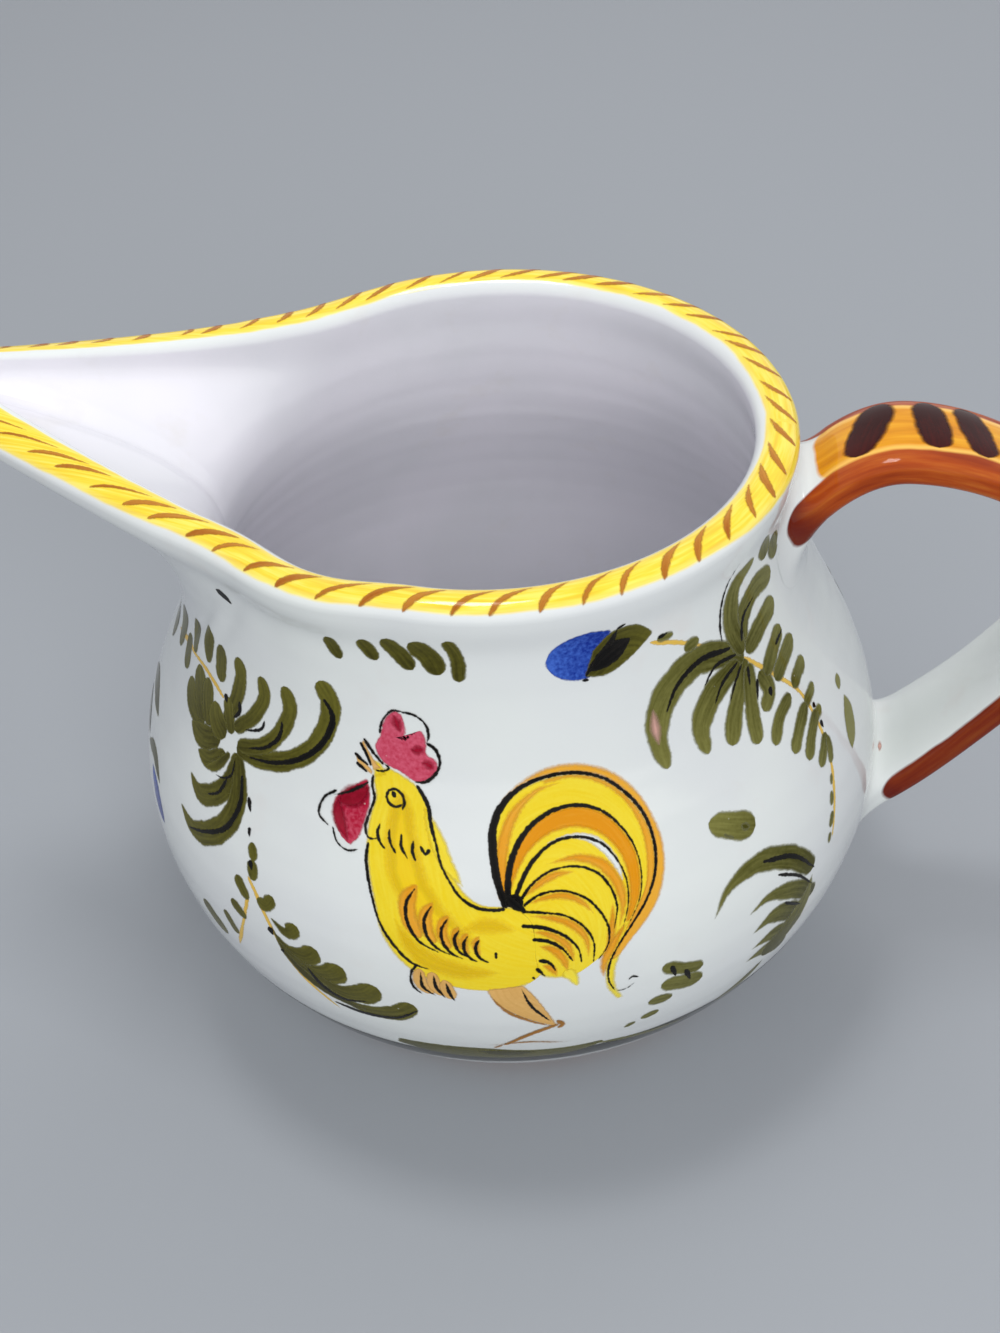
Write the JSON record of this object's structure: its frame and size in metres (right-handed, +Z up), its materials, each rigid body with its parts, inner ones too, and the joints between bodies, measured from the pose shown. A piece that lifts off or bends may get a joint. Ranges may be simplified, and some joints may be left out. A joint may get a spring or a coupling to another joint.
{
  "type": "pitcher",
  "caption": "Squat round-bellied glazed earthenware pitcher with a long pointed spout, a rolled rim and a flat strap handle.",
  "frame": {"origin": "centre of the foot on the table, on the axis of the belly", "axes": "+Z up along the axis of the belly, +X out towards the handle, -X out towards the tip of the spout"},
  "size_m": [0.2254, 0.15, 0.1353],
  "materials": {
    "white_glaze": "glossy tin glaze",
    "yellow_glaze": "glossy glaze, antimony yellow",
    "orange_glaze": "glossy glaze, orange",
    "brown_glaze": "glossy glaze, iron brown",
    "bare_clay": "matt fired earthenware"
  },
  "bodies": {
    "root": {"body": "white_glaze", "foot_ring": "bare_clay", "spout": "white_glaze", "rolled_rim": "yellow_glaze", "handle_strap": "white_glaze", "upper_luting": "white_glaze", "lower_luting": "white_glaze", "handle_top_glaze": "orange_glaze", "near_edge_glaze": "brown_glaze", "far_edge_glaze": "brown_glaze"}
  },
  "joints": []
}
